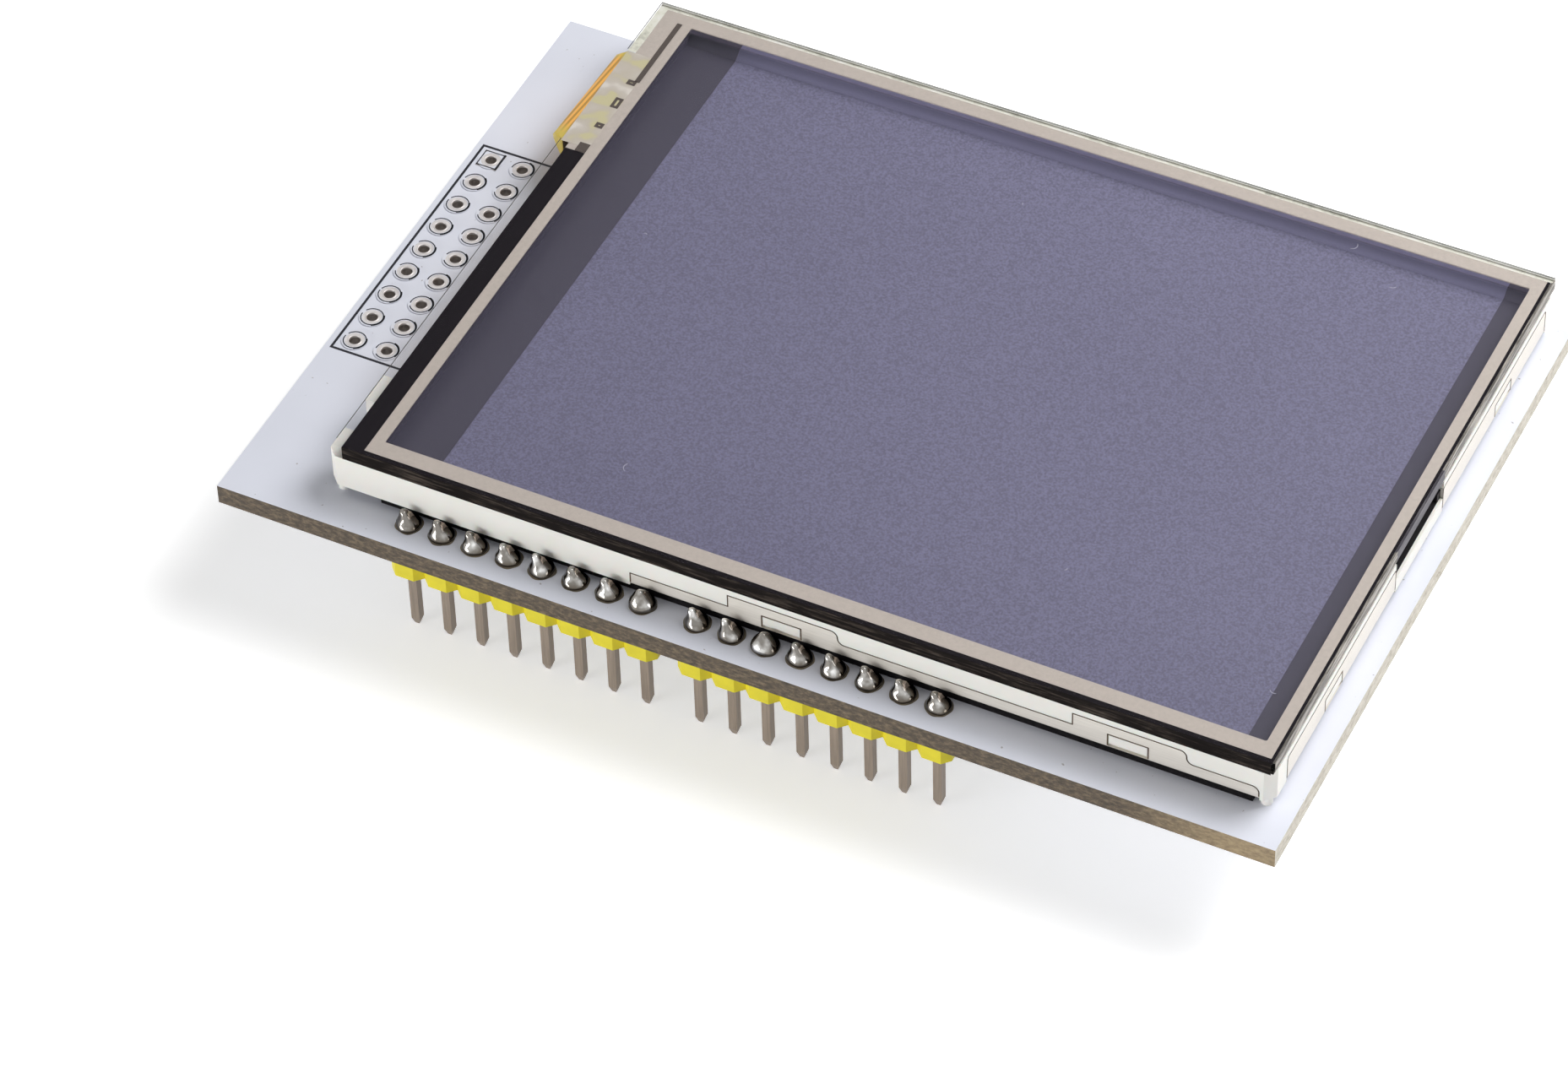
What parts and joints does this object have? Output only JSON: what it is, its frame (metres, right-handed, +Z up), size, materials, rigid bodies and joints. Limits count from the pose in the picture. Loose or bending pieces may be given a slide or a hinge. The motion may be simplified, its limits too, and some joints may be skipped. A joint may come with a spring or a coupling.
{
  "type": "tft display module",
  "caption": "Resistive touch colour display stuck on a white carrier board that stands on rows of header pins, with an expansion hole grid at one end",
  "frame": {"origin": "under the middle of the carrier board, at the level of the pin tips", "axes": "+X along the long edge of the board, away from the expansion holes; +Y from the soldered pin rows in view to the back edge; +Z up through the screen"},
  "size_m": [0.0782, 0.0524, 0.0143],
  "materials": {
    "board": "white solder mask on fibreglass laminate",
    "land": "tinned copper",
    "insulator": "yellow moulded plastic",
    "pin": "plated square wire",
    "solder": "bright tin solder",
    "foam": "black foam tape",
    "cover": "thin stamped sheet",
    "frame": "white moulded plastic",
    "reflector": "white reflecting film",
    "guide": "clear acrylic",
    "diffuser": "frosted film",
    "prism": "ribbed clear film",
    "flex": "amber flexible circuit",
    "diode": "white package with a pale yellow lens",
    "polarizer": "dark grey film",
    "pane": "thin clear glass",
    "chip": "bare dark silicon",
    "shield": "black tape",
    "gasket": "black adhesive foam",
    "touch_glass": "clear float glass",
    "pale_print": "pale beige print and adhesive",
    "black_print": "black print",
    "film": "clear hard-coated film",
    "socket_plastic": "black moulded plastic",
    "socket_metal": "bright stamped sheet",
    "contact": "gold plated spring sheet",
    "package": "black moulded resin",
    "lead": "tinned lead frame",
    "resistor": "black glaze",
    "capacitor": "light brown ceramic"
  },
  "bodies": {
    "root": {"circuit_board": "board", "expansion_eyelets": "land", "front_header_left": "insulator", "front_header_right": "insulator", "back_header_left": "insulator", "back_header_right": "insulator", "front_pins_left": "pin", "front_pins_right": "pin", "back_pins_left": "pin", "back_pins_right": "pin", "front_solder_left": "solder", "front_solder_right": "solder", "back_solder_left": "solder", "back_solder_right": "solder", "mounting_tape_front": "foam", "mounting_tape_back": "foam", "back_cover": "cover", "backlight_frame": "frame", "reflector_film": "reflector", "light_guide": "guide", "diffuser_film": "diffuser", "prism_film": "prism", "led_strip": "flex", "backlight_leds": "diode", "rear_polarizer": "polarizer", "lcd_rear_glass": "pane", "lcd_front_glass": "pane", "front_polarizer": "polarizer", "driver_chip": "chip", "driver_shield": "shield", "display_flex": "flex", "touch_gasket": "gasket", "touch_glass": "touch_glass", "pale_border": "pale_print", "black_border": "black_print", "touch_film": "film", "touch_flex": "flex", "card_socket_base": "socket_plastic", "card_socket_shell": "socket_metal", "card_socket_contacts": "contact", "logic_chip_left": "package", "logic_chip_right": "package", "logic_leads_left": "lead", "logic_leads_right": "lead", "regulator_body": "package", "regulator_leads": "lead", "chip_resistors": "resistor", "resistor_ends": "lead", "chip_capacitors": "capacitor", "capacitor_ends": "lead"}
  },
  "joints": []
}
